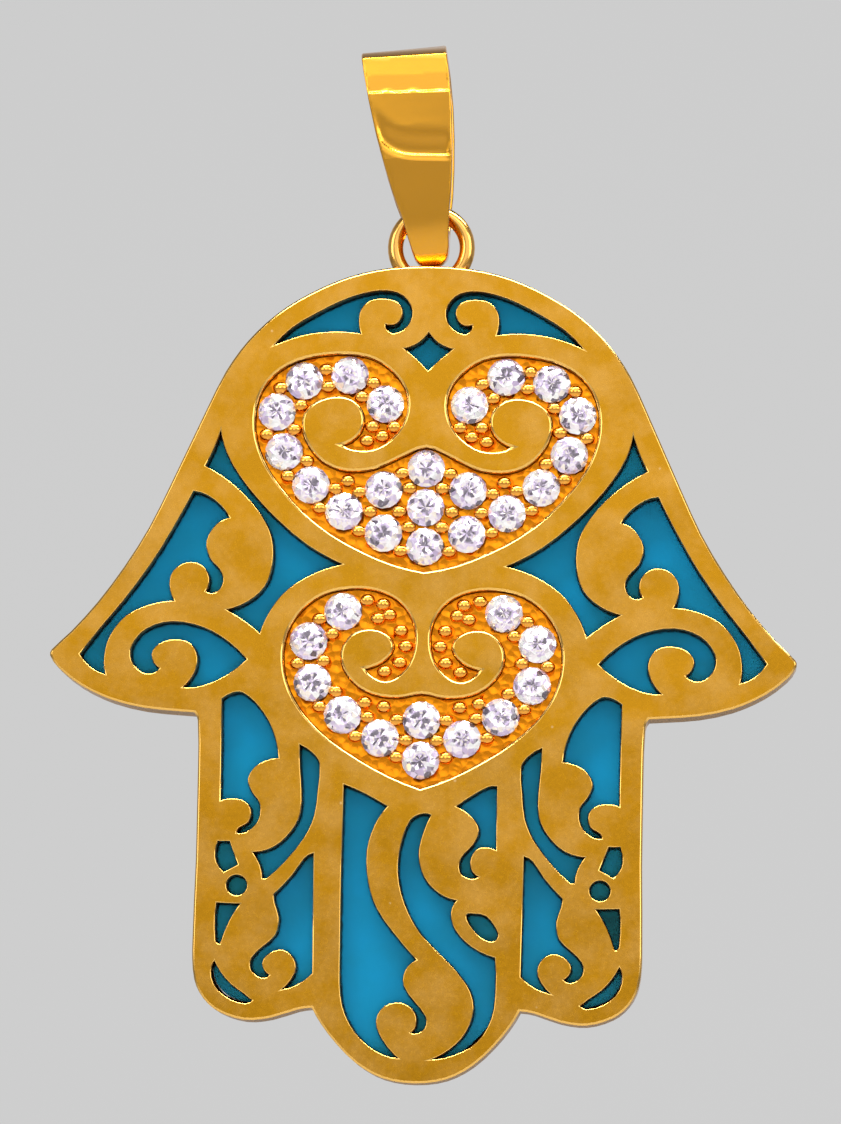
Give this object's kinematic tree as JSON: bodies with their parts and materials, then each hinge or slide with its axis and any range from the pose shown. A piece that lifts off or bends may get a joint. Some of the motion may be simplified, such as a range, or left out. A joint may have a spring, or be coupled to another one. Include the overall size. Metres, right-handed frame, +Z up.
{
  "type": "pendant",
  "caption": "Hamsa hand pendant: pierced gold plate over a turquoise sheet, stone-set heart scrolls, a soldered ring and a tapered bail it swings from.",
  "frame": {"origin": "where a chain carries the pendant: the inside top of the bail, straight above the middle line of the hand", "axes": "+Z up as it hangs, front face towards -Y, +X to the viewer's right; the hand is symmetric in outline about X = 0"},
  "size_m": [0.0286, 0.0034, 0.0402],
  "materials": {
    "polished_gold": "polished yellow gold with fine wear scratches",
    "pave_gold": "deep yellow gold, bright-cut floor with round grain beads",
    "turquoise": "smooth polished turquoise",
    "white_stone": "clear round brilliants, polished facets"
  },
  "bodies": {
    "bail": {"bail": "polished_gold"},
    "hand": {"hand_plate": "polished_gold", "turquoise_sheet": "turquoise", "back_plate": "polished_gold", "upper_pave_setting": "pave_gold", "lower_pave_setting": "pave_gold", "upper_stone_01": "white_stone", "upper_stone_02": "white_stone", "upper_stone_03": "white_stone", "upper_stone_04": "white_stone", "upper_stone_05": "white_stone", "upper_stone_06": "white_stone", "upper_stone_07": "white_stone", "upper_stone_08": "white_stone", "upper_stone_09": "white_stone", "upper_stone_10": "white_stone", "upper_stone_11": "white_stone", "upper_stone_12": "white_stone", "upper_stone_13": "white_stone", "upper_stone_14": "white_stone", "upper_stone_15": "white_stone", "upper_stone_16": "white_stone", "upper_stone_17": "white_stone", "upper_stone_18": "white_stone", "upper_stone_19": "white_stone", "upper_stone_20": "white_stone", "upper_stone_21": "white_stone", "lower_stone_01": "white_stone", "lower_stone_02": "white_stone", "lower_stone_03": "white_stone", "lower_stone_04": "white_stone", "lower_stone_05": "white_stone", "lower_stone_06": "white_stone", "lower_stone_07": "white_stone", "lower_stone_08": "white_stone", "lower_stone_09": "white_stone", "lower_stone_10": "white_stone", "lower_stone_11": "white_stone", "lower_stone_12": "white_stone"}
  },
  "joints": [
    {"name": "hand_swing", "type": "hinge", "parent": "bail", "child": "hand", "pos_m": [0, 0, -0.0062], "axis": [0.9888, 0, 0.1495], "range_deg": [-90, 90]}
  ]
}
